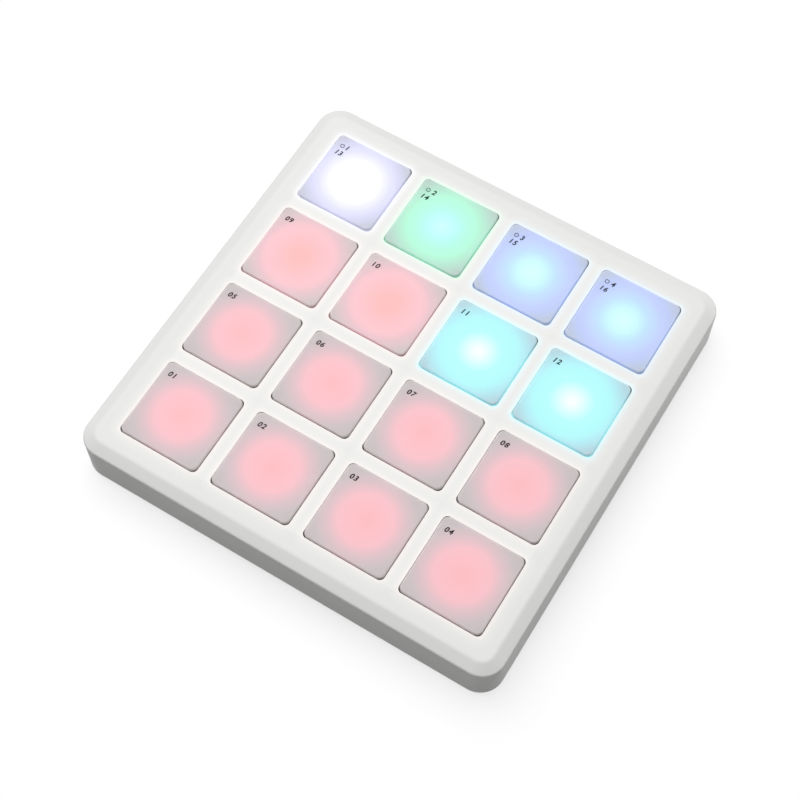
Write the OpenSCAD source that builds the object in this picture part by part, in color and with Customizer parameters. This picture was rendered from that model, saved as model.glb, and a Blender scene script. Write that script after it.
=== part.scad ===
// Pad controller: a flat square case with a four by four grid of back-lit
// silicone pads. Each pad travels straight down through its own opening onto a
// force sensor and is pushed back up by a soft return ring.
// Millimetres. The origin is on the table under the middle of the case, +Z is
// up, +X runs to the right along a row of pads and +Y runs to the back.

/* [Pad openings] */
// Side of the square opening for one pad
window_w = 30.5; // [26:0.1:38]
// Corner radius of an opening
window_r = 1.8; // [1:0.1:3]
// Chamfer round the top of an opening
window_chamfer = 0.2; // [0.1:0.05:0.5]
// Bar of the case between two openings
bridge_w = 5.5; // [4.5:0.1:9]

/* [Pads] */
// Gap all round a pad in its opening
pad_gap = 0.15; // [0.1:0.05:0.5]
// Height of a pad above the top face of the case
pad_proud = 0.8; // [0:0.1:1.5]
// How much rounder the corners of a pad are than those of its opening
pad_relief = 0.5; // [0.2:0.1:1.5]
// Rounding of the top edge of a pad
pad_edge_r = 0.6; // [0.2:0.1:1]
// Thickness of the top of a pad over its light chamber
pad_roof_t = 2.6; // [1.8:0.1:3]
// Thickness of the side of a pad
pad_side_t = 2.2; // [1.6:0.1:3]
// Reach of the retaining flange past the edge of the opening
flange_reach = 1; // [0.6:0.1:1.3]
// Thickness of the retaining flange
flange_t = 1.2; // [0.8:0.1:1.8]
// Gap between the flange and the underside of the case at rest
flange_gap = 0.1; // [0:0.05:0.3]
// Travel of a pad from rest to the sensor
pad_travel = 1.2; // [0.6:0.1:1.6]
// Outside diameter of the presser under a pad
presser_d = 16; // [13:0.5:19]
// Thickness of the presser's wall
presser_t = 2.2; // [1.5:0.1:3]

/* [Case] */
// Width of the rim from the outer openings to the side of the case
rim_w = 11; // [9:0.5:20]
// Height of the case from its lower edge to its top face
case_h = 18.5; // [17:0.5:28]
// Corner radius of the case, seen from above
corner_r = 8.5; // [7.5:0.5:10]
// Width of the bevel round the top face
bevel_w = 4.25; // [2:0.25:5]
// Drop of the bevel
bevel_h = 2; // [1:0.25:3]
// Rounding between the bevel and the side
shoulder_r = 1; // [0.3:0.1:2]
// Rounding between the top face and the bevel
crest_r = 3; // [1:0.5:5]
// Thickness of the side
wall_t = 2.5; // [2:0.1:3]
// Thickness of the top
top_t = 2.4; // [1.8:0.1:3]
// Thickness of the ribs that keep the light of one pad from the next
baffle_t = 1.2; // [0.8:0.1:1.6]
// Diameter of the posts that carry the circuit board
post_d = 5; // [4.4:0.1:5.6]
// Diameter of the corner bosses for the case screws
boss_d = 6.4; // [5.6:0.1:7]

/* [Cover] */
// Thickness of the bottom cover
cover_t = 2.2; // [1.8:0.1:3]
// Thickness of the lip of the case round the cover
lip_t = 1.4; // [1:0.1:1.6]
// Gap between the cover and the lip
cover_gap = 0.2; // [0.1:0.05:0.4]
// Chamfer of the cover's lower edge
cover_chamfer = 0.5; // [0.2:0.1:0.8]
// Height of the stiffening ribs inside the cover
cover_rib_h = 2.5; // [1:0.5:4]
// Thickness of the stiffening ribs inside the cover
cover_rib_t = 1.2; // [0.8:0.1:2]
// Diameter of the pillars that prop the circuit board
pillar_d = 6; // [4:0.5:8]

/* [Feet] */
// Height of the feet below the cover
foot_h = 2; // [1:0.5:5]
// Diameter of a foot
foot_d = 11; // [8:0.5:14]
// Depth of the pocket that a foot is glued into
foot_pocket = 0.8; // [0.4:0.1:1.2]
// Rounding of the lower edge of a foot
foot_edge_r = 0.6; // [0.2:0.1:0.9]
// Distance of a foot from the nearest case screw, along each side
foot_offset = 11; // [9:0.5:30]

/* [Circuit board and sensor] */
// Thickness of the circuit board
board_t = 1.6; // [1:0.1:2]
// Gap between the circuit board and the sides of the case
board_gap = 0.6; // [0.4:0.1:1.2]
// Thickness of the sensor film
film_t = 0.3; // [0.2:0.05:0.6]
// Thickness of the printed sensor rings on the film
ink_t = 0.1; // [0.05:0.05:0.2]
// Height of a return ring at rest
return_h = 2.6; // [2.2:0.1:3.4]
// Width of a return ring
return_w = 3; // [2:0.1:3.4]
// Side of a light-emitting diode
led_w = 5; // [3.5:0.5:5]
// Height of a light-emitting diode
led_h = 1.6; // [1:0.1:1.8]

/* [Data socket] */
// Outside width of the socket
socket_w = 8.94; // [7:0.02:10]
// Outside height of the socket
socket_h = 3.26; // [2.6:0.02:4]
// Depth of the socket
socket_l = 7.4; // [6:0.1:9]
// Thickness of the socket's metal
socket_t = 0.3; // [0.2:0.05:0.4]
// Depth of the socket's mouth behind the inner face of the back wall
socket_recess = 0.1; // [0:0.1:0.5]
// Room round the socket in the back wall, for the grip of a plug
socket_gap = 1.8; // [1.5:0.1:2]

/* [Screws] */
// Shank diameter of the case screws
case_screw_d = 2.8; // [2.4:0.1:3]
// Shank length of the case screws
case_screw_l = 9; // [7:0.5:11]
// Head diameter of the case screws
case_head_d = 5.4; // [4.6:0.1:5.8]
// Head height of the case screws
case_head_h = 1.8; // [1.2:0.1:2]
// Depth of a case screw's head below the bottom of the cover
head_sink = 0.8; // [0.2:0.1:1.2]
// Plastic between a case screw's head and its boss
well_floor_t = 1.6; // [1.2:0.1:2.4]
// Shank diameter of the board screws
board_screw_d = 2.2; // [1.8:0.1:2.6]
// Shank length of the board screws
board_screw_l = 4.5; // [4:0.5:5.5]
// Head diameter of the board screws
board_head_d = 4.2; // [3.6:0.1:5]
// Head height of the board screws
board_head_h = 1.5; // [1:0.1:2]
// Gap round a screw head in its well
head_gap = 0.5; // [0.3:0.1:0.8]
// Gap round a screw shank
shank_gap = 0.05; // [0.03:0.01:0.1]

/* [Hidden] */
$fa = 5;
$fs = 0.3;

// Pads along each side of the grid; the node names count them row by row
per_side = 4;
last = per_side - 1;
pad_numbers = [1 : per_side * per_side];

// A little extra depth for cuts that run right through
through = 1;
// Overlap of a rib or boss with the wall that it grows from
root = 0.2;

// Plan sizes
pitch = window_w + bridge_w;
grid_half = pitch * per_side / 2;
case_w = per_side * window_w + last * bridge_w + 2 * rim_w;
inner_w = case_w - 2 * wall_t;
lip_w = case_w - 2 * lip_t;
cover_w = lip_w - 2 * cover_gap;
pad_w = window_w - 2 * pad_gap;
pad_r = window_r + pad_relief;
flange_w = window_w + 2 * flange_reach;
flange_r = pad_r + (flange_w - pad_w) / 2;
chamber_w = pad_w - 2 * pad_side_t;
chamber_r = 1.5;
presser_bore = presser_d - 2 * presser_t;
return_r = max(chamber_r, flange_r - return_w);

// Heights, from the table up
cover_z = foot_h;
ledge_z = cover_z + cover_t;
top_z = foot_h + case_h;
shoulder_z = top_z - bevel_h;
under_z = top_z - top_t;
pad_top_z = top_z + pad_proud;
roof_z = pad_top_z - pad_roof_t;
flange_top_z = under_z - flange_gap;
flange_z = flange_top_z - flange_t;
film_top_z = flange_z - return_h;
film_z = film_top_z - film_t;
board_z = film_z - board_t;
ink_top_z = film_top_z + ink_t;
// The presser stops just short of the sensor ring at the end of the travel
presser_stop = 0.05;
presser_z = ink_top_z + pad_travel + presser_stop;

// The screw wells of the cover reach up to the corner bosses of the case
head_z = cover_z + head_sink;
well_z = head_z + case_head_h;
boss_z = well_z + well_floor_t;
well_d = case_head_d + 2 * head_gap;
well_wall = 1.2;
cover_hole_gap = 0.3;
blind_end = 1;

// Clearances round the posts and bosses
film_hole_gap = 0.5;
boss_notch_gap = 0.7;
baffle_gap = 0.2;
film_inset = 0.4;
film_r = 4;
board_r = 3;
led_hole_d = led_w * sqrt(2) + 2 * film_hole_gap;
ink_margin = 0.5;

// The socket hangs under the back edge of the board, behind the wall
socket_z = board_z - socket_h / 2;
socket_mouth_y = inner_w / 2 - socket_recess;
socket_back_y = socket_mouth_y - socket_l;
slot_flat = 0.2;
tongue_w = 6.7;
tongue_t = 0.7;
tongue_gap = 0.6;
tongue_base_l = 2.2;

// Parts soldered under the board: width, length and height of each
controller_size = [7, 7, 1.4];
driver_size = [10, 4, 1.6];
crystal_size = [11, 4.6, 3.5];
capacitor_size = [2, 1.25, 0.9];
capacitor_aside = 5;
lead_size = [0.4, 1, 0.2];
chip_standoff = 0.1;

// Where the screws, props and feet stand
corners = [[-1, -1], [1, -1], [1, 1], [-1, 1]];
boss_places = [for (c = corners) c * grid_half];
post_places = concat([[0, 0]], [for (c = corners) c * pitch]);
pillar_places = concat(
    [for (c = corners) c * pitch / 2],
    [for (c = corners) c * pitch * last / 2]
);
foot_places = [for (c = corners) c * (grid_half - foot_offset)];
rib_places = [for (k = [0 : per_side]) (k - per_side / 2) * pitch];

function two_digits(n) = n < 10 ? str("0", n) : str(n);
function pad_name(n) = str("pad_", two_digits(n));
function return_name(n) = str("return_ring_", two_digits(n));

// Centre of pad n; pad 1 is at the front left and pad 4 at the front right
function pad_place(n) = [
    ((n - 1) % per_side - last / 2) * pitch,
    (floor((n - 1) / per_side) - last / 2) * pitch
];

// Pads are lit red up to pad 10, then cyan, and in other colours at the back
function pad_tint(n) =
    n <= 10 ? "lightpink" :
    n <= 12 ? "paleturquoise" :
    n == 13 ? "lavender" :
    n == 14 ? "aquamarine" : "lightsteelblue";

// Outlines with true arcs: each corner is [x, y, radius], and only corners
// that stick out are rounded

function unit(v) = v / norm(v);
function spot(c) = [c[0], c[1]];
function half_angle(a, p, b) =
    acos(unit(spot(a) - spot(p)) * unit(spot(b) - spot(p))) / 2;
function arc_reach(a, p, b) = p[2] / tan(half_angle(a, p, b));
function arc_end(p, b, reach) = spot(p) + unit(spot(b) - spot(p)) * reach;
function corner_points(a, p, b) =
    p[2] == 0 ? [spot(p)] :
    let (reach = arc_reach(a, p, b))
    [arc_end(p, a, reach), arc_end(p, b, reach)];

// The piece between a rounded corner's arc and its chord
module corner_arc(a, p, b) {
    ends = corner_points(a, p, b);
    inward = unit(unit(spot(a) - spot(p)) + unit(spot(b) - spot(p)));
    rise = -inward * p[2];
    intersection() {
        translate(spot(p) + inward * p[2] / sin(half_angle(a, p, b)))
            circle(r = p[2]);
        polygon([ends[0], ends[0] + rise, ends[1] + rise, ends[1]]);
    }
}

module outline(corner_list) {
    n = len(corner_list);
    before = [for (i = [0 : n - 1]) corner_list[(i + n - 1) % n]];
    after = [for (i = [0 : n - 1]) corner_list[(i + 1) % n]];
    polygon([
        for (i = [0 : n - 1])
            each corner_points(before[i], corner_list[i], after[i])
    ]);
    for (i = [0 : n - 1])
        if (corner_list[i][2] > 0)
            corner_arc(before[i], corner_list[i], after[i]);
}

module rounded_rectangle(w, h, r) {
    outline([
        [-w / 2, -h / 2, r],
        [w / 2, -h / 2, r],
        [w / 2, h / 2, r],
        [-w / 2, h / 2, r]
    ]);
}

module rounded_square(w, r) {
    rounded_rectangle(w, w, r);
}

module rounded_slab(w, r, low, high) {
    translate([0, 0, low])
        linear_extrude(high - low)
            rounded_square(w, r);
}

// A block with round corners whose sides follow a profile. The profile is
// measured outwards from the axes of the corners, with y as the height, and
// the square core between those axes is solid from low to high.
module profiled_block(core_w, low, high) {
    translate([-core_w / 2, -core_w / 2, low])
        cube([core_w, core_w, high - low]);
    for (turn = [0 : 90 : 270])
        rotate(turn) translate([core_w / 2, core_w / 2, 0]) {
            rotate_extrude(angle = 90)
                children();
            rotate([90, 0, 0])
                linear_extrude(core_w)
                    children();
        }
}

module at_pads() {
    for (n = pad_numbers)
        translate(pad_place(n))
            children();
}

module at_places(places) {
    for (place = places)
        translate(place)
            children();
}

// Outside of the case: upright sides, a bevel round the top and soft edges
module case_form() {
    profiled_block(case_w - 2 * corner_r, cover_z, top_z)
        outline([
            [0, cover_z, 0],
            [corner_r, cover_z, 0],
            [corner_r, shoulder_z, shoulder_r],
            [corner_r - bevel_w, top_z, crest_r],
            [0, top_z, 0]
        ]);
}

// Inside of the case, with the wider step that takes the bottom cover
module case_cavity() {
    rounded_slab(inner_w, corner_r - wall_t, cover_z - through, under_z);
    rounded_slab(lip_w, corner_r - lip_t, cover_z - through, ledge_z);
}

// Ribs round every pad, from the top down to just above the sensor film
module light_baffles() {
    low = film_top_z + baffle_gap;
    length = inner_w + 2 * root;
    for (place = rib_places, turn = [0, 90])
        rotate(turn)
            translate([place - baffle_t / 2, -length / 2, low])
                cube([baffle_t, length, under_z + root - low]);
}

// One opening, flared by a small chamfer at the top face
module pad_window() {
    core_w = window_w - 2 * window_r;
    flare_z = top_z - window_chamfer;
    high = top_z + through;
    flare = window_r + window_chamfer + through;
    profiled_block(core_w, under_z - through, high)
        polygon([
            [0, under_z - through],
            [window_r, under_z - through],
            [window_r, flare_z],
            [flare, high],
            [0, high]
        ]);
}

// A slot with round ends, standing in the plane of the back of the case
module socket_slot(grow, from_y, to_y) {
    h = socket_h + 2 * grow;
    translate([0, to_y, socket_z])
        rotate([90, 0, 0])
            linear_extrude(to_y - from_y)
                rounded_rectangle(socket_w + 2 * grow, h, (h - slot_flat) / 2);
}

module top_case() {
    color("whitesmoke") difference() {
        union() {
            difference() {
                case_form();
                case_cavity();
            }
            light_baffles();
            at_places(post_places)
                translate([0, 0, film_z])
                    cylinder(d = post_d, h = under_z + root - film_z);
            at_places(boss_places)
                translate([0, 0, boss_z])
                    cylinder(d = boss_d, h = under_z + root - boss_z);
        }
        at_pads() pad_window();
        at_places(post_places)
            translate([0, 0, film_z - through])
                cylinder(
                    d = board_screw_d + 2 * shank_gap,
                    h = board_screw_l - board_t + blind_end + through
                );
        at_places(boss_places)
            translate([0, 0, boss_z - through])
                cylinder(
                    d = case_screw_d + 2 * shank_gap,
                    h = case_screw_l - well_floor_t + blind_end + through
                );
        socket_slot(socket_gap, inner_w / 2 - through, case_w / 2 + through);
    }
}

// Plate of the cover, chamfered round its lower edge
module cover_plate() {
    cover_r = corner_r - lip_t - cover_gap;
    profiled_block(cover_w - 2 * cover_r, cover_z, ledge_z)
        polygon([
            [0, cover_z],
            [cover_r - cover_chamfer, cover_z],
            [cover_r, cover_z + cover_chamfer],
            [cover_r, ledge_z],
            [0, ledge_z]
        ]);
}

// Ribs that tie the pillars of the cover together
module cover_ribs() {
    length = pitch * last;
    places = [for (k = [0 : last]) (k - last / 2) * pitch];
    for (place = places, turn = [0, 90])
        rotate(turn)
            translate([place - cover_rib_t / 2, -length / 2, ledge_z - root])
                cube([cover_rib_t, length, cover_rib_h + root]);
}

module bottom_cover() {
    color("gainsboro") difference() {
        union() {
            cover_plate();
            cover_ribs();
            at_places(pillar_places)
                translate([0, 0, ledge_z - root])
                    cylinder(d = pillar_d, h = board_z - ledge_z + root);
            at_places(boss_places)
                translate([0, 0, ledge_z - root])
                    cylinder(d = well_d + 2 * well_wall, h = boss_z - ledge_z + root);
        }
        at_places(boss_places) {
            translate([0, 0, cover_z - through])
                cylinder(d = well_d, h = well_z - cover_z + through);
            translate([0, 0, well_z - through])
                cylinder(
                    d = case_screw_d + 2 * cover_hole_gap,
                    h = well_floor_t + 2 * through
                );
        }
        at_places(foot_places)
            translate([0, 0, cover_z - through])
                cylinder(d = foot_d, h = foot_pocket + through);
    }
}

module rubber_feet() {
    color("dimgray")
        at_places(foot_places)
            rotate_extrude()
                outline([
                    [0, 0, 0],
                    [foot_d / 2, 0, foot_edge_r],
                    [foot_d / 2, cover_z + foot_pocket, 0],
                    [0, cover_z + foot_pocket, 0]
                ]);
}

// Pan-head screw standing on its head, with the shank above
module screw(head_d, head_h, shank_d, shank_l) {
    crown = head_h / 2;
    rotate_extrude()
        outline([
            [0, 0, 0],
            [head_d / 2, 0, crown],
            [head_d / 2, head_h, 0],
            [0, head_h, 0]
        ]);
    translate([0, 0, head_h])
        cylinder(d = shank_d, h = shank_l);
}

module case_screws() {
    color("silver")
        at_places(boss_places)
            translate([0, 0, head_z])
                screw(case_head_d, case_head_h, case_screw_d, case_screw_l);
}

module board_screws() {
    color("silver")
        at_places(post_places)
            translate([0, 0, board_z - board_head_h])
                screw(board_head_d, board_head_h, board_screw_d, board_screw_l);
}

// Notch in a corner of the board, round the boss and open to the outside
module boss_notch() {
    reach = boss_d / 2 + boss_notch_gap;
    circle(r = reach);
    translate([-reach, 0]) square(rim_w);
    translate([0, -reach]) square(rim_w);
}

module circuit_board() {
    color("seagreen")
        translate([0, 0, board_z])
            linear_extrude(board_t)
                difference() {
                    rounded_square(inner_w - 2 * board_gap, board_r);
                    for (turn = [0 : 90 : 270])
                        rotate(turn)
                            translate([grid_half, grid_half])
                                boss_notch();
                    at_places(post_places)
                        circle(d = board_screw_d + 2 * cover_hole_gap);
                }
}

// Film over the board, open over each diode and round each post
module sensor_film() {
    color("black")
        translate([0, 0, film_z])
            linear_extrude(film_t)
                difference() {
                    rounded_square(2 * (grid_half - film_inset), film_r);
                    at_pads() circle(d = led_hole_d);
                    at_places(post_places)
                        circle(d = post_d + 2 * film_hole_gap);
                }
}

// Force-sensing rings, one under each presser
module sensor_rings() {
    color("dimgray")
        translate([0, 0, film_top_z])
            linear_extrude(ink_t)
                at_pads()
                    difference() {
                        circle(d = presser_d + 2 * ink_margin);
                        circle(d = presser_bore - 2 * ink_margin);
                    }
}

// Diode in a square housing with a shallow round reflector
module pad_leds() {
    dish_d = led_w * 0.8;
    dish_h = led_h / 4;
    color("white")
        at_pads()
            translate([0, 0, film_z])
                difference() {
                    translate([-led_w / 2, -led_w / 2, 0])
                        cube([led_w, led_w, led_h]);
                    translate([0, 0, led_h - dish_h])
                        cylinder(d1 = dish_d / 2, d2 = dish_d, h = dish_h);
                }
}

module led_capacitors() {
    color("tan")
        at_pads()
            translate([capacitor_aside, -capacitor_aside, board_z - capacitor_size[2]])
                cube(capacitor_size);
}

// Row of bent leads along one side of a chip, from half its height to the board
module lead_row(count, spacing, chip_h) {
    shoulder_l = lead_size[1] / 2;
    for (k = [0 : count - 1])
        translate([(k - (count - 1) / 2) * spacing - lead_size[0] / 2, 0, 0]) {
            cube(lead_size);
            cube([lead_size[0], shoulder_l, chip_h / 2]);
        }
}

// Chip under the board, which is at z = 0, with leads along its length and ends
module chip(size, long_leads, end_leads, spacing) {
    mirror([0, 0, 1]) {
        translate([-size[0] / 2, -size[1] / 2, chip_standoff])
            cube([size[0], size[1], size[2] - chip_standoff]);
        for (turn = [0, 180]) {
            rotate(turn)
                translate([0, size[1] / 2, 0])
                    lead_row(long_leads, spacing, size[2]);
            rotate(turn + 90)
                translate([0, size[0] / 2, 0])
                    lead_row(end_leads, spacing, size[2]);
        }
    }
}

module microcontroller() {
    color("#202020")
        translate([0, pitch, board_z])
            chip(controller_size, long_leads = 8, end_leads = 8, spacing = 0.8);
}

module led_drivers() {
    color("#202020")
        for (side = [-1, 1])
            translate([side * pitch, 0, board_z])
                chip(driver_size, long_leads = 8, end_leads = 0, spacing = 1.2);
}

// Low metal can with round ends, behind the microcontroller
module crystal() {
    place_y = pitch + controller_size[1] + crystal_size[1] / 2;
    color("silver")
        translate([0, place_y, board_z - crystal_size[2]])
            linear_extrude(crystal_size[2])
                rounded_rectangle(
                    crystal_size[0],
                    crystal_size[1],
                    (crystal_size[1] - slot_flat) / 2
                );
}

// Metal sleeve of the data socket, open towards the back of the case
module usb_socket() {
    color("silver") difference() {
        socket_slot(0, socket_back_y, socket_mouth_y);
        socket_slot(-socket_t, socket_back_y + socket_t, socket_mouth_y + through);
    }
}

// Insulator inside the socket: a base that fills its end and a flat tongue
module usb_tongue() {
    base_y = socket_back_y + socket_t;
    tip_y = socket_mouth_y - tongue_gap;
    color("#303030") {
        socket_slot(-socket_t, base_y, base_y + tongue_base_l);
        translate([-tongue_w / 2, base_y, socket_z - tongue_t / 2])
            cube([tongue_w, tip_y - base_y, tongue_t]);
    }
}

// Outside of a pad: the head with its soft edge and the flange that keeps it
// in the case
module pad_form() {
    profiled_block(pad_w - 2 * pad_r, flange_z, pad_top_z) {
        outline([
            [0, flange_z, 0],
            [pad_r, flange_z, 0],
            [pad_r, pad_top_z, pad_edge_r],
            [0, pad_top_z, 0]
        ]);
        translate([0, flange_z])
            square([flange_r, flange_t]);
    }
}

module pad(n) {
    color(pad_tint(n)) translate(pad_place(n)) {
        difference() {
            pad_form();
            rounded_slab(chamber_w, chamber_r, flange_z - through, roof_z);
        }
        translate([0, 0, presser_z])
            difference() {
                cylinder(d = presser_d, h = roof_z - presser_z + root);
                translate([0, 0, -through])
                    cylinder(d = presser_bore, h = roof_z - presser_z + through);
            }
    }
}

// Soft ring between the sensor film and the flange of a pad
module return_ring(n) {
    color("lightgray")
        translate(concat(pad_place(n), film_top_z))
            linear_extrude(return_h)
                difference() {
                    rounded_square(flange_w, flange_r);
                    rounded_square(flange_w - 2 * return_w, return_r);
                }
}

top_case();
bottom_cover();
rubber_feet();
case_screws();
circuit_board();
board_screws();
sensor_film();
sensor_rings();
pad_leds();
led_capacitors();
microcontroller();
led_drivers();
crystal();
usb_socket();
usb_tongue();
for (n = pad_numbers) {
    pad(n);
    return_ring(n);
}
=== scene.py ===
"""Looks of the pad controller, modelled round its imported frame, in metres."""
import math

import bmesh
import bpy
from mathutils import Matrix, Vector


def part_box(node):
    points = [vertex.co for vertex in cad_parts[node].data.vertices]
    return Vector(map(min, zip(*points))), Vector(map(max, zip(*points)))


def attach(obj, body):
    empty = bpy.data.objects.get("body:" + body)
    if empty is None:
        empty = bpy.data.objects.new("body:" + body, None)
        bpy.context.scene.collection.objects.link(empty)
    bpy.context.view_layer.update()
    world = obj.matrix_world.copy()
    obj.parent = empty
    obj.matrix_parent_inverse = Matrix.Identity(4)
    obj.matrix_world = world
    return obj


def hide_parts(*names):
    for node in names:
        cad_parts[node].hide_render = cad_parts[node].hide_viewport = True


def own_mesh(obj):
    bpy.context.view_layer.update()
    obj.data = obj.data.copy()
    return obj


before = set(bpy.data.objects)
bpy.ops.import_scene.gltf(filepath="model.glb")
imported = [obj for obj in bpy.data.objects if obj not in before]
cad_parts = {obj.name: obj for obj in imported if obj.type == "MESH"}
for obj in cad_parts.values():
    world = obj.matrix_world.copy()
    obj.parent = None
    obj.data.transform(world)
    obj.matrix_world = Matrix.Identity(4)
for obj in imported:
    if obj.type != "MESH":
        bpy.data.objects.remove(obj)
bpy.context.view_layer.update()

MM = 0.001

# Sizes read from the frame

case_low, case_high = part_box("top_case")
pad_low, pad_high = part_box("pad_01")
ring_low, ring_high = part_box("return_ring_01")
socket_low, socket_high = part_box("usb_socket")
screw_low, screw_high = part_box("case_screws")
post_low, post_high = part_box("board_screws")

PER_SIDE = 4
PAD_NUMBERS = range(1, PER_SIDE * PER_SIDE + 1)
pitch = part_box("pad_02")[0].x - pad_low.x
grid_half = pitch * PER_SIDE / 2
case_w = case_high.x - case_low.x
case_bottom_z = case_low.z
top_z = case_high.z
pad_top_z = pad_high.z
presser_z = pad_low.z
flange_w = pad_high.x - pad_low.x
flange_z = ring_high.z
film_top_z = ring_low.z
film_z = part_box("circuit_board")[1].z
socket_middle_z = (socket_low.z + socket_high.z) / 2

# Sizes of the case that a box doesn't give

CORNER_R = 8.5 * MM
BEVEL_W = 4.25 * MM
BEVEL_H = 2 * MM
SHOULDER_SOFT = 0.6 * MM
CREST_SOFT = 0.7 * MM
WALL_T = 2.5 * MM
LIP_T = 1.4 * MM
TOP_T = 2.4 * MM
COVER_T = 2.2 * MM
WINDOW_W = 30.5 * MM
WINDOW_R = 1.8 * MM
WINDOW_SOFT = 0.2 * MM
PLUG_GAP = 1.8 * MM
PLUG_SOFT = 0.3 * MM
PLUG_END_FLAT = 0.2 * MM
BAFFLE_T = 1.2 * MM
BAFFLE_GAP = 0.2 * MM
POST_D = 5 * MM
BOSS_D = 6.4 * MM
BOSS_Z = 6.2 * MM
BORE_CLEARANCE = 0.1 * MM
CASE_SHANK_D = 2.8 * MM
BOARD_SHANK_D = 2.2 * MM

# Sizes of a pad

PAD_W = 30.2 * MM
PAD_R = 2.3 * MM
PAD_EDGE_R = 0.6 * MM
PAD_ROOF_T = 2.6 * MM
FLANGE_T = 1.2 * MM
CHAMBER_W = 25.8 * MM
PRESSER_D = 16 * MM
PRESSER_BORE = 11.6 * MM
RETURN_W = 3 * MM
TONGUE_T = 0.7 * MM

under_z = top_z - TOP_T
ledge_z = case_bottom_z + COVER_T
shoulder_z = top_z - BEVEL_H
flange_r = PAD_R + (flange_w - PAD_W) / 2

# Light of each pad, row by row from the front

PAD_LIGHTS = (
    ("red", "red", "red", "red"),
    ("red", "red", "red", "red"),
    ("bright_red", "bright_red", "cyan", "cyan"),
    ("violet", "green", "blue", "blue"),
)


def pad_name(number):
    return f"pad_{number:02d}"


def pad_cell(number):
    """Row and column of a pad, both from 0."""
    return divmod(number - 1, PER_SIDE)


def pad_place(number):
    row, column = pad_cell(number)
    middle = (PER_SIDE - 1) / 2
    return Vector(((column - middle) * pitch, (row - middle) * pitch, 0))


def light_of(number):
    row, column = pad_cell(number)
    return PAD_LIGHTS[row][column]


CORNERS = [Vector((x, y, 0)) for x, y in ((-1, -1), (1, -1), (1, 1), (-1, 1))]
boss_places = [corner * grid_half for corner in CORNERS]
post_places = [Vector()] + [corner * pitch for corner in CORNERS]

# Modelling by hand

CLOSE = 1e-6
LEVEL_NORMAL = 0.9
FLAT_ANGLE = math.radians(5)
SHARP_ANGLE = math.radians(45)
SINK = 0.2 * MM
PAST = 1 * MM


def deselect():
    bpy.ops.object.select_all(action="DESELECT")


def hold(piece):
    """Makes one piece the only selected and active one."""
    deselect()
    piece.select_set(True)
    bpy.context.view_layer.objects.active = piece


def edit(piece):
    hold(piece)
    bpy.ops.object.mode_set(mode="EDIT")


def leave_edit():
    bpy.ops.mesh.select_all(action="SELECT")
    bpy.ops.mesh.normals_make_consistent(inside=False)
    bpy.ops.object.mode_set(mode="OBJECT")
    return bpy.context.object


def pick(kind, wanted):
    """Selects the faces or the edges of the piece in hand that pass a test."""
    bpy.ops.mesh.select_mode(type=kind)
    bpy.ops.mesh.select_all(action="DESELECT")
    mesh = bpy.context.edit_object.data
    shape = bmesh.from_edit_mesh(mesh)
    for element in shape.faces if kind == "FACE" else shape.edges:
        if wanted(element):
            element.select_set(True)
    bmesh.update_edit_mesh(mesh)


def level(edge, z):
    """True for an edge that lies at height z."""
    return all(abs(vertex.co.z - z) < CLOSE for vertex in edge.verts)


def facing_down(face):
    return face.normal.z < -LEVEL_NORMAL


def facing_up(face):
    return face.normal.z > LEVEL_NORMAL


def lift(distance):
    bpy.ops.mesh.extrude_region_move(TRANSFORM_OT_translate={"value": (0, 0, distance)})


def inset(thickness, depth=0.0):
    bpy.ops.mesh.inset(thickness=thickness, depth=depth)


def raise_ring(width, height):
    """Makes a ring of the flat face in hand and raises it."""
    inset(width)
    bpy.ops.mesh.delete(type="FACE")
    bpy.ops.mesh.select_all(action="SELECT")
    lift(height)


def bevel(offset, segments):
    bpy.ops.mesh.bevel(offset=offset, segments=segments, affect="EDGES")


def soften(z, offset, segments):
    """Rounds the edges at height z that close a level face."""
    pick("EDGE", lambda edge: level(edge, z) and edge.calc_face_angle(0) > FLAT_ANGLE)
    bevel(offset, segments)


def plate(name, width, depth, radius, z, place=Vector(), steps=12):
    """A flat plate with round corners, left in edit mode with its face selected."""
    deselect()
    bpy.ops.mesh.primitive_plane_add(size=1, location=(place.x, place.y, z))
    made = bpy.context.object
    made.name = name
    made.scale = (width, depth, 1)
    bpy.ops.object.transform_apply(location=True, scale=True)
    bpy.ops.object.mode_set(mode="EDIT")
    bpy.ops.mesh.select_all(action="SELECT")
    bpy.ops.mesh.bevel(offset=radius, segments=steps, affect="VERTICES")
    bpy.ops.mesh.select_all(action="SELECT")
    return made


def prism(name, width, depth, radius, low, high, place=Vector()):
    plate(name, width, depth, radius, low, place)
    lift(high - low)
    return leave_edit()


def bar(name, low, high):
    """A square-edged bar between two corners."""
    deselect()
    bpy.ops.mesh.primitive_cube_add(size=1, location=(low + high) / 2)
    made = bpy.context.object
    made.name = name
    made.scale = high - low
    bpy.ops.object.transform_apply(location=True, scale=True)
    return made


def rod(name, diameter, low, high, place=Vector(), sides=48):
    deselect()
    middle = (place.x, place.y, (low + high) / 2)
    bpy.ops.mesh.primitive_cylinder_add(
        vertices=sides, radius=diameter / 2, depth=high - low, location=middle
    )
    made = bpy.context.object
    made.name = name
    bpy.ops.object.transform_apply(location=True)
    return made


def join(pieces):
    hold(pieces[0])
    for piece in pieces:
        piece.select_set(True)
    if len(pieces) > 1:
        bpy.ops.object.join()
    return pieces[0]


def combine(piece, tool, operation):
    """Adds a tool to a piece with UNION or cuts it away with DIFFERENCE."""
    hold(piece)
    change = piece.modifiers.new(operation.lower(), "BOOLEAN")
    change.operation = operation
    change.solver = "EXACT"
    change.use_self = True
    change.object = tool
    bpy.ops.object.modifier_apply(modifier=change.name)
    bpy.data.objects.remove(tool)


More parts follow.
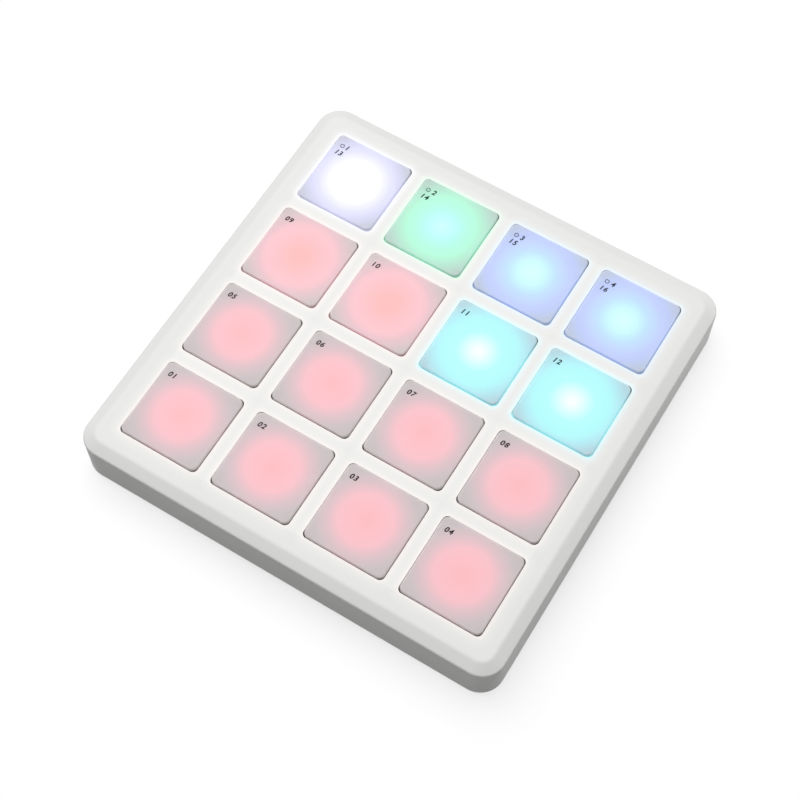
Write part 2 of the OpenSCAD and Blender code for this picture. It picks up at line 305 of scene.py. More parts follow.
def polish(piece, degrees=40):
    """Smooth shading over the round stretches, with the flat faces kept flat."""
    hold(piece)
    bpy.ops.object.shade_smooth_by_angle(angle=math.radians(degrees))
    even = piece.modifiers.new("flat_faces", "WEIGHTED_NORMAL")
    even.keep_sharp = True
    bpy.ops.object.modifier_apply(modifier=even.name)


def copy_to(master, name, place):
    """A copy with its own mesh, moved to a place within that mesh."""
    made = master.copy()
    made.data = master.data.copy()
    made.name = name
    bpy.context.scene.collection.objects.link(made)
    made.data.transform(Matrix.Translation(place))
    return made


def fit(piece, body, material, replaces=()):
    """Gives a finished piece its body and its finish, and hides the nodes it stands for."""
    piece.data.materials.clear()
    piece.data.materials.append(material)
    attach(piece, body)
    if replaces:
        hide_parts(*replaces)
    return piece


# Materials

BLACK = (0, 0, 0)
MIDWAY = 0.5


class Value:
    """A shader socket that takes part in Python arithmetic."""

    def __init__(self, finish, socket):
        self.finish = finish
        self.socket = socket

    def maths(self, operation, *values):
        return self.finish.add("ShaderNodeMath", {"operation": operation}, dict(enumerate(values)))

    def __add__(self, other):
        return self.maths("ADD", self, other)

    def __sub__(self, other):
        return self.maths("SUBTRACT", self, other)

    def __rsub__(self, other):
        return self.maths("SUBTRACT", other, self)

    def __mul__(self, other):
        return self.maths("MULTIPLY", self, other)

    def __gt__(self, other):
        return self.maths("GREATER_THAN", self, other)

    def __lt__(self, other):
        return self.maths("LESS_THAN", self, other)

    def __abs__(self):
        return self.maths("ABSOLUTE", self)

    __radd__ = __add__
    __rmul__ = __mul__

    def at_least(self, other):
        return self.maths("MAXIMUM", self, other)

    def at_most(self, other):
        return self.maths("MINIMUM", self, other)

    def whole(self):
        return self.maths("FLOOR", self)

    def root(self):
        return self.maths("SQRT", self)


class Nodes:
    """A node tree whose nodes are all made by one method."""

    def __init__(self, tree):
        self.tree = tree

    def put(self, socket, value):
        """Puts a number, a colour or another socket's value on a socket."""
        if isinstance(value, Value):
            self.tree.links.new(value.socket, socket)
        elif socket.type == "RGBA" and len(value) == 3:
            socket.default_value = (*value, 1)
        else:
            socket.default_value = value

    def add(self, kind, settings, sockets, output=0):
        """Any node: its settings first, then the values or links of its sockets."""
        node = self.tree.nodes.new(kind)
        for setting, value in settings.items():
            if setting == "stops":
                self.set_stops(node.color_ramp, value)
            else:
                setattr(node, setting, value)
        for socket, value in sockets.items():
            self.put(node.inputs[socket], value)
        return Value(self, node.outputs[output])

    @staticmethod
    def set_stops(ramp, stops):
        ramp.interpolation = "CARDINAL"
        while len(ramp.elements) < len(stops):
            ramp.elements.new(1)
        for element, (place, colour) in zip(ramp.elements, stops):
            element.position = place
            element.color = (*colour, 1)

    def place(self):
        """Where a point is on the piece."""
        return self.add("ShaderNodeTexCoord", {}, {}, "Object")

    def between(self, value, low, high):
        """0 up to one value, 1 from another on and even in between."""
        return self.add("ShaderNodeMapRange", {}, {"Value": value, "From Min": low, "From Max": high})

    def seen(self):
        """1 where the camera sees a surface, by itself, mirrored or through glass."""
        rays = ("Is Camera Ray", "Is Glossy Ray", "Is Transmission Ray")
        camera, mirror, glass = [self.add("ShaderNodeLightPath", {}, {}, ray) for ray in rays]
        return camera + mirror + glass


class Finish(Nodes):
    """One procedural material with a Principled shader."""

    def __init__(self, name, **settings):
        self.material = bpy.data.materials.new(name)
        self.material.use_nodes = True
        super().__init__(self.material.node_tree)
        self.shader = self.tree.nodes["Principled BSDF"]
        for socket, value in settings.items():
            self.set(socket.replace("_", " ").title(), value)

    def set(self, socket, value):
        self.put(self.shader.inputs[socket], value)

    def axis(self, name):
        return self.add("ShaderNodeSeparateXYZ", {}, {"Vector": self.place()}, name)

    def noise(self, size, detail=2.0):
        """Noise from 0 to 1, with spots of about the given size."""
        sockets = {"Vector": self.place(), "Scale": 1 / size, "Detail": detail}
        return self.add("ShaderNodeTexNoise", {}, sockets, "Fac")

    def offset(self, name):
        """A coordinate counted from the middle of the nearest pad."""
        half = pitch / 2
        along = self.axis(name) - half
        return along.maths("WRAP", along, -half, half)

    def radius(self):
        """Distance from the upright axis of the nearest pad."""
        x, y = self.offset("X"), self.offset("Y")
        return (x * x + y * y).root()

    def cell(self, value):
        """The row or column of pads that a coordinate is nearest to, from 0."""
        steps = value * (1 / pitch) + PER_SIDE / 2
        return steps.at_least(0).whole().at_most(PER_SIDE - 1)

    def past_opening(self, value, cell):
        """How far a coordinate lies past the straight stretch of its pad's opening."""
        middle = (cell - (PER_SIDE - 1) / 2) * pitch
        past = abs(value - middle) - (WINDOW_W / 2 - WINDOW_R)
        return past.at_least(0)

    def ramp(self, value, stops):
        """Colours along a value, with a smooth curve through the stops."""
        return self.add("ShaderNodeValToRGB", {"stops": stops}, {"Fac": value}, "Color")

    def mix(self, factor, first, second):
        sockets = {"Factor": factor, 6: first, 7: second}
        return self.add("ShaderNodeMix", {"data_type": "RGBA"}, sockets, 2)

    def by_cell(self, cell, colours):
        """The colour of the row or column that a point is in."""
        chosen, *others = colours
        for first, colour in enumerate(others, 1):
            chosen = self.mix(cell > first - MIDWAY, chosen, colour)
        return chosen

    def tint(self, mask, colour, at_0, at_1):
        """A base colour, times one share where a mask is 0 and another where it is 1."""
        self.set("Base Color", self.mix(mask, shade(colour, at_0), shade(colour, at_1)))

    def sheen(self, around, by):
        """A roughness that each mask raises and lowers by half its spread."""
        roughness = around
        for mask, spread in by:
            roughness = roughness + spread * (mask - MIDWAY)
        self.set("Roughness", roughness)

    def bump(self, height, strength, distance):
        sockets = {"Height": height, "Strength": strength, "Distance": distance}
        self.set("Normal", self.add("ShaderNodeBump", {}, sockets))


def shade(colour, share):
    return tuple(channel * share for channel in colour)


def moulded_finish(name, colour, grain, roughness, depth):
    """Satin moulded plastic with a fine spark-eroded grain and faint flow marks."""
    finish = Finish(name)
    flow = finish.noise(size=25 * MM, detail=3)
    speck = finish.noise(size=grain)
    finish.tint(flow, colour, at_0=0.985, at_1=1.015)
    finish.sheen(around=roughness, by=[(speck, 0.08), (flow, 0.05)])
    finish.bump(speck, strength=0.25, distance=depth)
    return finish


def moulded_plastic(name, **details):
    return moulded_finish(name, **details).material


# Light of the pads painted on the case as a glow round their openings, with a fainter painted glow on the
# rim and on the bars between the openings

SPILL = {
    "red": (0.17, 0.12, 0.105),
    "bright_red": (0.20, 0.13, 0.12),
    "cyan": (0.01, 0.20, 0.23),
    "violet": (0.19, 0.195, 0.25),
    "green": (0.05, 0.21, 0.10),
    "blue": (0.05, 0.15, 0.22),
}
SPILL_NEAR = 2.75 * MM
SPILL_RIM = (0.02, 0.02, 0.02)
SPILL_RIM_FAR = 4 * MM
SPILL_BARS = (0.056, 0.056, 0.053)
SPILL_BARS_FAR = 6.5 * MM
SPILL_BARS_END = 0.8 * MM


def spill_colour(finish, row, column):
    """The light that leaks from the pad in a row and a column."""
    rows = [finish.by_cell(column, [SPILL[light] for light in lights]) for lights in PAD_LIGHTS]
    return finish.by_cell(row, rows)


def case_with_painted_glow(name, **details):
    """Plastic with the pads' light painted on as a glow at the rims of its openings, and a faint painted
    glow on the rim and the bars.
    """
    finish = moulded_finish(name, **details)
    finish.set("Emission Strength", 1.0)
    x, y = finish.axis("X"), finish.axis("Y")
    column, row = finish.cell(x), finish.cell(y)
    past_x, past_y = finish.past_opening(x, column), finish.past_opening(y, row)
    distance = (past_x * past_x + past_y * past_y).root() - WINDOW_R
    # Painted light: a faint glow on the outer rim and a stronger one on the bars between the openings.
    rim = finish.mix(finish.between(distance, SPILL_RIM_FAR, SPILL_NEAR), BLACK, SPILL_RIM)
    bars = finish.mix(finish.between(distance, SPILL_BARS_FAR, SPILL_NEAR), BLACK, SPILL_BARS)
    openings_end = grid_half - (pitch - WINDOW_W) / 2
    among = finish.between(abs(x).at_least(abs(y)), openings_end + SPILL_BARS_END, openings_end)
    faint = finish.mix(among, rim, bars)
    near = finish.between(distance, SPILL_NEAR, 0)
    # Painted light: each pad's colour glows on the case right next to its opening.
    spill = finish.mix(near * near, faint, spill_colour(finish, row, column))
    edge_z = top_z - WINDOW_SOFT / 4
    on_top = finish.between(finish.axis("Z"), edge_z, top_z)
    finish.set("Emission Color", finish.mix(on_top, BLACK, spill))
    return finish.material


def rubber(name, colour):
    """Matt rubber with dust in its grain."""
    finish = Finish(name)
    dust = finish.noise(size=2 * MM, detail=4)
    grain = finish.noise(size=0.25 * MM)
    finish.tint(dust, colour, at_0=0.85, at_1=1.2)
    finish.sheen(around=0.75, by=[(dust, 0.1)])
    finish.bump(grain, strength=0.3, distance=0.03 * MM)
    return finish.material


def metal(name, colour, roughness):
    """Plated metal with fine uneven spots."""
    finish = Finish(name, metallic=1.0)
    spots = finish.noise(size=0.3 * MM, detail=3)
    finish.tint(spots, colour, at_0=0.9, at_1=1.05)
    finish.sheen(around=roughness, by=[(spots, 0.15)])
    return finish.material


def foam(name, colour, cell):
    """Foam whose cells are pale in the middle and dark at their walls."""
    finish = Finish(name, roughness=0.95)
    cells = finish.add("ShaderNodeTexVoronoi", {}, {"Vector": finish.place(), "Scale": 1 / cell})
    finish.tint(cells, colour, at_0=1.15, at_1=0.7)
    finish.bump(cells, strength=0.6, distance=0.1 * MM)
    return finish.material


# Glow of the diode through a pad: radius in millimetres and the light added there

GLOW_REACH = 24
GLOWS = {
    "red": (
        (0, (0.50, 0.05, 0.07)),
        (8, (0.50, 0.085, 0.125)),
        (10, (0.425, 0.085, 0.125)),
        (12, (0.31, 0.085, 0.115)),
        (16, (0.16, 0.075, 0.09)),
        (19, (0.105, 0.06, 0.06)),
        (GLOW_REACH, (0.04, 0.03, 0.03)),
    ),
    "bright_red": (
        (0, (0.52, 0.055, 0.05)),
        (4, (0.52, 0.065, 0.065)),
        (11, (0.51, 0.11, 0.15)),
        (14, (0.38, 0.10, 0.135)),
        (18, (0.21, 0.095, 0.105)),
        (GLOW_REACH, (0.08, 0.04, 0.04)),
    ),
    "cyan": (
        (0, (0.46, 0.55, 0.55)),
        (2, (0.40, 0.55, 0.55)),
        (7, (0.07, 0.53, 0.53)),
        (10, (0.01, 0.52, 0.52)),
        (13, (0.0, 0.48, 0.51)),
        (18, (0.0, 0.26, 0.33)),
        (GLOW_REACH, (0.0, 0.08, 0.10)),
    ),
    "violet": (
        (0, (0.66, 0.66, 0.66)),
        (9, (0.50, 0.51, 0.53)),
        (12, (0.36, 0.365, 0.50)),
        (15, (0.26, 0.26, 0.47)),
        (18, (0.155, 0.17, 0.305)),
        (GLOW_REACH, (0.05, 0.06, 0.09)),
    ),
    "green": (
        (0, (0.145, 0.56, 0.54)),
        (4, (0.06, 0.55, 0.49)),
        (8, (0.0, 0.53, 0.35)),
        (12, (0.0, 0.49, 0.245)),
        (18, (0.015, 0.23, 0.135)),
        (GLOW_REACH, (0.0, 0.07, 0.05)),
    ),
    "blue": (
        (0, (0.215, 0.55, 0.55)),
        (4, (0.16, 0.51, 0.54)),
        (8, (0.09, 0.34, 0.53)),
        (12, (0.09, 0.22, 0.51)),
        (15, (0.07, 0.16, 0.48)),
        (18, (0.055, 0.13, 0.32)),
        (GLOW_REACH, (0.02, 0.04, 0.10)),
    ),
}

# Painted light on a pad's sides in the gap round it, which gives way to painted shade towards the back
# right corner

GAP_LIGHT = {
    "red": BLACK,
    "bright_red": (0.12, 0.03, 0.03),
    "cyan": (0.2, 0.55, 0.57),
    "violet": (0.45, 0.45, 0.55),
    "green": (0.1, 0.4, 0.22),
    "blue": (0.12, 0.18, 0.35),
}
GAP_DEPTH = 0.6 * MM
GAP_LIT = 20 * MM
GAP_DARK = 28 * MM
MILKY = (0.515, 0.51, 0.515)


def lit_silicone(light):
    """Milky silicone, brightest over its diode, with painted light down in the gap round it and painted
    shade towards its back right corner.
    """
    finish = Finish(
        f"silicone_{light}",
        emission_strength=1.0,
        subsurface_weight=1.0,
        subsurface_radius=(1, 1, 1),
        subsurface_scale=1.5 * MM,
    )
    cloud = finish.noise(size=6 * MM, detail=3)
    grain = finish.noise(size=0.3 * MM)
    finish.tint(cloud, MILKY, at_0=0.985, at_1=1.015)
    finish.sheen(around=0.5, by=[(grain, 0.08)])
    finish.bump(grain, strength=0.15, distance=0.02 * MM)
    stops = [(radius / GLOW_REACH, added) for radius, added in GLOWS[light]]
    glow = finish.ramp(finish.radius() * (1 / (GLOW_REACH * MM)), stops)
    # Below the top edge the glow gives way to the gap's painted light, which fades to painted shade towards
    # the back right corner.
    deep = finish.between(finish.axis("Z"), top_z, top_z - GAP_DEPTH)
    toward_corner = finish.offset("X") + finish.offset("Y")
    dark = finish.between(toward_corner, GAP_LIT, GAP_DARK)
    painted_gap_light = finish.mix(dark, GAP_LIGHT[light], BLACK)
    finish.set("Emission Color", finish.mix(deep, glow, painted_gap_light))
    return finish.material


def printed_ink(name, colour):
    """Matt ink with hardly any sheen."""
    finish = Finish(name)
    finish.set("Specular IOR Level", 0.1)
    speck = finish.noise(size=0.2 * MM)
    finish.tint(speck, colour, at_0=0.8, at_1=1.3)
    finish.sheen(around=0.5, by=[(speck, 0.1)])
    return finish.material


case_plastic = case_with_painted_glow(
    "case_plastic", colour=(0.84, 0.84, 0.825), grain=0.3 * MM, roughness=0.46, depth=0.02 * MM
)
cover_plastic = moulded_plastic(
    "cover_plastic", colour=(0.74, 0.74, 0.73), grain=0.45 * MM, roughness=0.6, depth=0.05 * MM
)
foot_rubber = rubber("foot_rubber", colour=(0.05, 0.05, 0.052))
zinc = metal("zinc_plate", colour=(0.62, 0.62, 0.6), roughness=0.3)
nickel = metal("nickel_plate", colour=(0.72, 0.71, 0.68), roughness=0.22)
gold = metal("gold_plate", colour=(0.83, 0.62, 0.27), roughness=0.25)
ring_foam = foam("ring_foam", colour=(0.42, 0.42, 0.43), cell=0.6 * MM)
number_ink = printed_ink("number_ink", colour=(0.012, 0.012, 0.014))
silicones = {light: lit_silicone(light) for light in GLOWS}

# Case: a rounded block with a bevelled top, hollowed from below


def model_case():
    plate("case_shell", case_w, case_w, CORNER_R, case_bottom_z)
    lift(shoulder_z - case_bottom_z)
    inset(BEVEL_W, BEVEL_H)
    soften(shoulder_z, SHOULDER_SOFT, segments=4)
    soften(top_z, CREST_SOFT, segments=4)
    pick("FACE", facing_down)
    inset(LIP_T)
    lift(COVER_T)
    inset(WALL_T - LIP_T)
    lift(under_z - ledge_z)
    return leave_edit()


def model_baffles():
    """Ribs round every pad, the posts of the board and the corner bosses."""
    high = under_z + SINK
    reach = case_w / 2 - WALL_T + SINK
    half = BAFFLE_T / 2
    low = film_top_z + BAFFLE_GAP
    parts = []
    for step in range(PER_SIDE + 1):
        middle = (step - PER_SIDE / 2) * pitch
        parts.append(bar("rib", Vector((middle - half, -reach, low)), Vector((middle + half, reach, high))))
        parts.append(bar("rib", Vector((-reach, middle - half, low)), Vector((reach, middle + half, high))))
    parts += [rod("post", POST_D, film_z, high, place) for place in post_places]
    parts += [rod("boss", BOSS_D, BOSS_Z, high, place) for place in boss_places]
    return join(parts)


def model_windows():
    return join([
        prism("window", WINDOW_W, WINDOW_W, WINDOW_R, under_z - PAST, top_z + PAST, pad_place(number))
        for number in PAD_NUMBERS
    ])


def model_bores():
    case_bore = CASE_SHANK_D + BORE_CLEARANCE
    board_bore = BOARD_SHANK_D + BORE_CLEARANCE
    bores = [rod("bore", case_bore, BOSS_Z - PAST, screw_high.z + PAST, place) for place in boss_places]
    bores += [rod("bore", board_bore, film_z - PAST, post_high.z + PAST, place) for place in post_places]
    return join(bores)


def model_plug_opening():
    """The round-ended opening in the back wall, wide enough for the grip of a plug."""
    width = socket_high.x - socket_low.x + 2 * PLUG_GAP
    height = socket_high.z - socket_low.z + 2 * PLUG_GAP
    plate("plug_opening", width, height, (height - PLUG_END_FLAT) / 2, 0)
    lift(WALL_T + 2 * PAST)
    opening = leave_edit()
    opening.rotation_euler.x = math.pi / 2
    opening.location = (0, case_w / 2 + PAST, socket_middle_z)
    bpy.ops.object.transform_apply(location=True, rotation=True)
    return opening


def plug_rim(edge):
    """True for the outer edge of the plug's opening."""
    reach = case_w / 10
    behind = all(vertex.co.y > case_w / 2 - CLOSE for vertex in edge.verts)
    near = all(abs(vertex.co.x) < reach for vertex in edge.verts)
    return behind and near and edge.calc_face_angle(0) > SHARP_ANGLE


case_shell = model_case()
combine(case_shell, model_baffles(), "UNION")
combine(case_shell, model_windows(), "DIFFERENCE")
combine(case_shell, model_bores(), "DIFFERENCE")
combine(case_shell, model_plug_opening(), "DIFFERENCE")
edit(case_shell)
soften(top_z, WINDOW_SOFT, segments=2)
pick("EDGE", plug_rim)
bevel(PLUG_SOFT, segments=3)
leave_edit()
polish(case_shell)
fit(case_shell, "root", case_plastic, ["top_case"])

# Pads, modelled once and copied


def model_pad():
    plate("pad_master", flange_w, flange_w, flange_r, flange_z)
    lift(FLANGE_T)
    inset((flange_w - PAD_W) / 2)
    lift(pad_top_z - flange_z - FLANGE_T)
    soften(pad_top_z, PAD_EDGE_R, segments=5)
    pick("FACE", facing_down)
    inset((flange_w - CHAMBER_W) / 2)
    roof_z = pad_top_z - PAD_ROOF_T
    lift(roof_z - flange_z)
    pad = leave_edit()
    combine(pad, rod("presser", PRESSER_D, presser_z, roof_z + SINK), "UNION")
    combine(pad, rod("presser_bore", PRESSER_BORE, presser_z - SINK, roof_z), "DIFFERENCE")
    polish(pad)
    return pad


pad_master = model_pad()
for number in PAD_NUMBERS:
    name = pad_name(number)
    pad = copy_to(pad_master, f"{name}_silicone", pad_place(number))
    fit(pad, name, silicones[light_of(number)], [name])
bpy.data.objects.remove(pad_master)

# Numbers printed on the pads, with a ring and a preset number on the back row

CAP_H = 2 * MM
SLANT = 0.2
STROKE = 0.025
SPREAD = 1.2
FIGURE_DEPTH = 0.5
INK_T = 0.02 * MM
MARGIN_X = 2.6 * MM
FIRST_LINE = 3.6 * MM
SECOND_LINE = 6.7 * MM
RING_D = 1.6 * MM
RING_T = 0.22 * MM
DIGIT_GAP = 0.9 * MM
LAST_PLAIN_PAD = 12


def print_number(text, left, top):
    """Oblique figures on top of a pad, as a mesh, from their left and top edges."""
    deselect()
    bpy.ops.object.text_add()
    lettering = bpy.context.object
    lettering.data.body = text
    lettering.data.shear = SLANT
    lettering.data.space_character = SPREAD
    lettering.data.extrude = FIGURE_DEPTH
    lettering.data.bevel_depth = STROKE
    lettering.data.bevel_resolution = 0
    bpy.ops.object.convert(target="MESH")
    made = bpy.context.object
    xs = [vertex.co.x for vertex in made.data.vertices]
    ys = [vertex.co.y for vertex in made.data.vertices]
    size = CAP_H / (max(ys) - min(ys))
    made.scale = (size, size, INK_T / (FIGURE_DEPTH + STROKE))
    made.location = (left - min(xs) * size, top - max(ys) * size, pad_top_z)
    bpy.ops.object.transform_apply(location=True, scale=True)
    return made


def print_ring(left, top):
    deselect()
    middle = (left + RING_D / 2, top - CAP_H / 2, pad_top_z - INK_T)
    bpy.ops.mesh.primitive_circle_add(
        vertices=40, radius=RING_D / 2, fill_type="NGON", location=middle
    )
    bpy.ops.object.transform_apply(location=True)
    bpy.ops.object.mode_set(mode="EDIT")
    bpy.ops.mesh.select_all(action="SELECT")
    raise_ring(RING_T, 2 * INK_T)
    return leave_edit()


for number in PAD_NUMBERS:
    name = pad_name(number)
    window_corner = pad_place(number) + Vector((-WINDOW_W / 2, WINDOW_W / 2, 0))
    left = window_corner.x + MARGIN_X
    first_top = window_corner.y - FIRST_LINE
    figures = f"{number:02d}"
    if number <= LAST_PLAIN_PAD:
        marks = [print_number(figures, left, first_top)]
    else:
        preset = str(number - LAST_PLAIN_PAD)
        marks = [
            print_ring(left, first_top),
            print_number(preset, left + RING_D + DIGIT_GAP, first_top),
            print_number(figures, left, window_corner.y - SECOND_LINE),
        ]
    printed = join(marks)
    printed.name = f"{name}_print"
    fit(printed, name, number_ink)

# Foam return rings, squeezed by their pads


def model_return_ring():
    plate("ring_master", flange_w, flange_w, flange_r, film_top_z, steps=8)
    raise_ring(RETURN_W, flange_z - film_top_z)
    ring = leave_edit()
    polish(ring)
    return ring


ring_master = model_return_ring()
for number in PAD_NUMBERS:
    name = f"return_ring_{number:02d}"
    place = pad_place(number)
    ring = copy_to(ring_master, f"{name}_foam", place)
    fit(ring, "root", ring_foam, [name])
    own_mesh(ring)
bpy.data.objects.remove(ring_master)

# Screws with a cross recess in their heads; values without MM are shares of the head or the shank

CASE_HEAD_D = 5.4 * MM
CASE_HEAD_H = 1.8 * MM
BOARD_HEAD_D = 4.2 * MM
BOARD_HEAD_H = 1.5 * MM
HEAD_ROUND = 0.5
CROSS_W = 0.5
CROSS_SLOT = 0.16
CROSS_DEPTH = 0.65
CROSS_TAPER = 0.55
TIP_ROUND = 0.25


def model_cross(width, slot, depth, z):
    """The tapered cross that a driver fits, cut up into a head from height z."""
    arms = []
    for size in (Vector((width, slot, 0)), Vector((slot, width, 0))):
        low = Vector((0, 0, z - SINK)) - size / 2
        high = Vector((0, 0, z + depth)) + size / 2
        arms.append(bar("arm", low, high))
        edit(arms[-1])
        pick("FACE", facing_up)
        bpy.ops.transform.resize(value=(CROSS_TAPER, CROSS_TAPER, 1))
        leave_edit()
    return join(arms)


def model_screw(name, head_d, head_h, shank_d, low, high, places):
    """Pan-head screws that stand on their heads, one at each place."""
    head = rod("screw_master", head_d, low, low + head_h)
    edit(head)
    soften(low, HEAD_ROUND * head_h, segments=5)
    leave_edit()
    combine(head, rod("shank", shank_d, low + head_h / 2, high, sides=32), "UNION")
    cross = model_cross(CROSS_W * head_d, CROSS_SLOT * head_d, CROSS_DEPTH * head_h, low)
    combine(head, cross, "DIFFERENCE")
    edit(head)
    soften(high, TIP_ROUND * shank_d, segments=2)
    leave_edit()
    polish(head, degrees=30)
    screws = join([copy_to(head, name, place) for place in places])
    bpy.data.objects.remove(head)
    return screws


case_screws = model_screw(
    "case_screws_cross", CASE_HEAD_D, CASE_HEAD_H, CASE_SHANK_D, screw_low.z, screw_high.z, boss_places
)
board_screws = model_screw(
    "board_screws_cross", BOARD_HEAD_D, BOARD_HEAD_H, BOARD_SHANK_D, post_low.z, post_high.z, post_places
)
fit(case_screws, "root", zinc, ["case_screws"])
fit(board_screws, "root", zinc, ["board_screws"])

# Contacts on the tongue of the data socket

CONTACTS = 12
CONTACT_PITCH = 0.5 * MM
CONTACT_W = 0.26 * MM
CONTACT_L = 3.4 * MM
CONTACT_T = 0.04 * MM
CONTACT_SETBACK = 0.7 * MM


def model_contacts():
    """A row of flat contacts, each on both faces of the tongue."""
    tip_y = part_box("usb_tongue")[1].y - CONTACT_SETBACK
    half_t = TONGUE_T / 2 + CONTACT_T
    low = Vector((-CONTACT_W / 2, tip_y - CONTACT_L, socket_middle_z - half_t))
    high = Vector((CONTACT_W / 2, tip_y, socket_middle_z + half_t))
    blade = bar("blade", low, high)
    edit(blade)
    pick("EDGE", lambda edge: all(vertex.co.y > tip_y - CLOSE for vertex in edge.verts))
    bevel(CONTACT_T, segments=2)
    leave_edit()
    middle = (CONTACTS - 1) / 2
    row = [
        copy_to(blade, "tongue_contacts", Vector(((step - middle) * CONTACT_PITCH, 0, 0)))
        for step in range(CONTACTS)
    ]
    bpy.data.objects.remove(blade)
    return join(row)


contacts = model_contacts()
polish(contacts)
fit(contacts, "root", gold)

# Finish of the inner parts that keep their solids

MASK_DARK = (0.02, 0.13, 0.07)
MASK_PALE = (0.03, 0.17, 0.09)
TRACK_GREEN = (0.06, 0.26, 0.13)
TRACK_PITCH = 8 * MM
EPOXY_DARK = (0.02, 0.02, 0.02)
EPOXY_PALE = (0.04, 0.04, 0.04)
EPOXY_ROUGH = 0.6
TIN = (0.62, 0.61, 0.58)
TIN_ROUGH = 0.3
HOUSING_DARK = (0.84, 0.84, 0.8)
HOUSING_PALE = (0.9, 0.9, 0.86)
DISH_R = 2 * MM
DISH_LIGHT = (0.9, 0.9, 0.9)


def circuit_green():
    """Solder mask with faint copper tracks under it."""
    finish = Finish("solder_mask", roughness=0.3)
    track = finish.add(
        "ShaderNodeTexBrick",
        {"offset": 0.5},
        {"Vector": finish.place(), "Scale": 1 / TRACK_PITCH, "Mortar Size": 0.06},
        "Fac",
    )
    blotch = finish.noise(size=4 * MM, detail=3)
    mask = finish.mix(blotch, MASK_DARK, MASK_PALE)
    finish.set("Base Color", finish.mix(track, mask, TRACK_GREEN))
    return finish.material


def chip_epoxy(name, middle, half_width, half_length):
    """Black epoxy with tinned leads outside its body."""
    finish = Finish(name)
    x = abs(abs(finish.axis("X")) - middle[0])
    y = abs(finish.axis("Y") - middle[1])
    lead = (x > half_width) + (y > half_length)
    grain = finish.noise(size=0.2 * MM)
    body = finish.mix(grain, EPOXY_DARK, EPOXY_PALE)
    finish.set("Base Color", finish.mix(lead, body, TIN))
    finish.set("Metallic", lead)
    finish.set("Roughness", EPOXY_ROUGH - (EPOXY_ROUGH - TIN_ROUGH) * lead)
    return finish.material


def diode_white():
    """White housing whose dish glows."""
    finish = Finish("diode_white", emission_strength=1.0, roughness=0.35)
    dish = finish.radius() < DISH_R
    grain = finish.noise(size=0.5 * MM)
    finish.set("Base Color", finish.mix(grain, HOUSING_DARK, HOUSING_PALE))
    finish.set("Emission Color", finish.mix(dish, BLACK, DISH_LIGHT))
    return finish.material


dark_film = moulded_plastic(
    "dark_film", colour=(0.03, 0.03, 0.033), grain=0.3 * MM, roughness=0.5, depth=0.01 * MM
)
carbon_ink = printed_ink("carbon_ink", colour=(0.06, 0.06, 0.06))
fired_ceramic = moulded_plastic(
    "fired_ceramic", colour=(0.5, 0.38, 0.25), grain=0.2 * MM, roughness=0.4, depth=0.01 * MM
)
tongue_black = moulded_plastic(
    "tongue_black", colour=(0.03, 0.03, 0.03), grain=0.2 * MM, roughness=0.5, depth=0.01 * MM
)
solder_mask = circuit_green()
diode_housing = diode_white()
controller_epoxy = chip_epoxy(
    "controller_epoxy", middle=(0, pitch), half_width=3.5 * MM, half_length=3.5 * MM
)
driver_epoxy = chip_epoxy("driver_epoxy", middle=(pitch, 0), half_width=5 * MM, half_length=2 * MM)
KEPT = {
    "circuit_board": solder_mask,
    "sensor_film": dark_film,
    "sensor_rings": carbon_ink,
    "pad_leds": diode_housing,
    "led_capacitors": fired_ceramic,
    "microcontroller": controller_epoxy,
    "led_drivers": driver_epoxy,
    "crystal": nickel,
    "bottom_cover": cover_plastic,
    "rubber_feet": foot_rubber,
    "usb_socket": nickel,
    "usb_tongue": tongue_black,
}
for node, material in KEPT.items():
    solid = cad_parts[node].data
    solid.materials.clear()
    solid.materials.append(material)

# Floor, lights and camera

FLOOR_SIZE = 6
FLOOR_SEEN = 0.4
FLOOR_GLOW = 0.68
FLOOR_BOUNCE = 0.14
SHADE_NEAR = 0.08
SHADE_FAR = 0.26
SKY = 0.21


def pale_floor():
    """White to the eye, with the object's shadow close by, and dimmer as a source of light."""
    material = bpy.data.materials.new("pale_floor")
    material.use_nodes = True
    nodes = Nodes(material.node_tree)
    pale = nodes.add("ShaderNodeBsdfDiffuse", {}, {"Color": (FLOOR_SEEN,) * 3})
    glow = nodes.add("ShaderNodeEmission", {}, {"Strength": FLOOR_GLOW})
    white = nodes.add("ShaderNodeAddShader", {}, {0: pale, 1: glow})
    dim = nodes.add("ShaderNodeBsdfDiffuse", {}, {"Color": (FLOOR_BOUNCE,) * 3})
    distance = nodes.add("ShaderNodeVectorMath", {"operation": "LENGTH"}, {0: nodes.place()}, "Value")
    far = nodes.between(distance, SHADE_NEAR, SHADE_FAR)
    bright = nodes.add("ShaderNodeEmission", {}, {"Strength": 1.0})
    look = nodes.add("ShaderNodeMixShader", {}, {0: far, 1: white, 2: bright})
    surface = nodes.add("ShaderNodeMixShader", {}, {0: nodes.seen(), 1: dim, 2: look})
    nodes.put(nodes.tree.nodes["Material Output"].inputs["Surface"], surface)
    return material


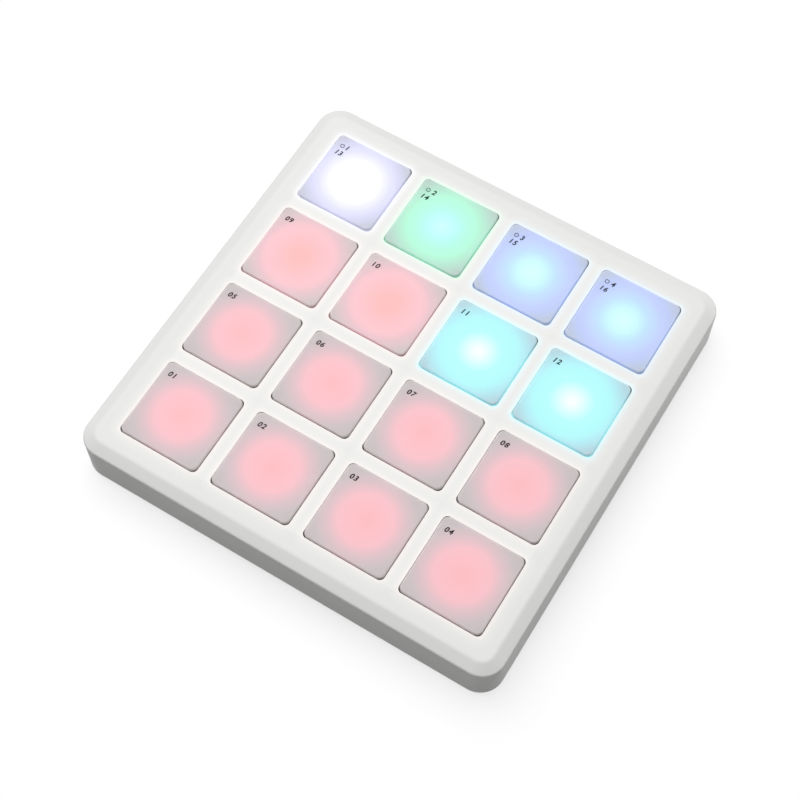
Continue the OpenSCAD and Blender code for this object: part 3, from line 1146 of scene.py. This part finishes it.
def model_floor():
    deselect()
    bpy.ops.mesh.primitive_plane_add(size=FLOOR_SIZE)
    floor = bpy.context.object
    floor.name = "floor"
    floor.data.materials.append(pale_floor())


def set_sky():
    """Even light from all round, which looks white behind the object."""
    world = bpy.data.worlds.new("studio")
    bpy.context.scene.world = world
    world.use_nodes = True
    nodes = Nodes(world.node_tree)
    sky = nodes.tree.nodes["Background"]
    nodes.put(sky.inputs["Color"], (1, 1, 1))
    nodes.put(sky.inputs["Strength"], SKY + (1 - SKY) * nodes.seen())


def softbox(name, direction, distance, size, brightness):
    """A square soft light, turned to the object and out of view; brightness 1 is white."""
    deselect()
    toward = Vector(direction).normalized()
    bpy.ops.object.light_add(type="AREA", location=toward * distance)
    lamp = bpy.context.object
    lamp.name = name
    lamp.data.shape = "SQUARE"
    lamp.data.size = size
    lamp.data.energy = brightness * math.pi * size * size
    lamp.rotation_euler = toward.to_track_quat("Z", "Y").to_euler()
    lamp.visible_camera = False


# The camera stands where the outlines of the sixteen openings put it

CAMERA_PLACE = Vector((138.324 * MM, -229.421 * MM, top_z + 518.532 * MM))
CAMERA_RIGHT = Vector((0.853451, 0.521173, -0.000675))
CAMERA_UP = Vector((-0.467117, 0.765503, 0.442501))
LENS_MM = 77.884
SENSOR_MM = 36
CLIP_START = 0.01


def set_camera():
    deselect()
    bpy.ops.object.camera_add()
    camera = bpy.context.object
    camera.name = "camera"
    back = CAMERA_RIGHT.cross(CAMERA_UP)
    turn = Matrix((CAMERA_RIGHT, CAMERA_UP, back)).transposed()
    camera.matrix_world = Matrix.Translation(CAMERA_PLACE) @ turn.to_4x4()
    camera.data.lens = LENS_MM
    camera.data.sensor_width = SENSOR_MM
    camera.data.clip_start = CLIP_START
    bpy.context.scene.camera = camera


model_floor()
set_sky()
softbox("overhead", (-0.29, 0.18, 0.94), distance=1.3, size=1.5, brightness=2.38)
softbox("side", (1, 0.87, 0.05), distance=0.305, size=0.16, brightness=1.9)
set_camera()
bpy.context.scene.view_settings.view_transform = "Standard"
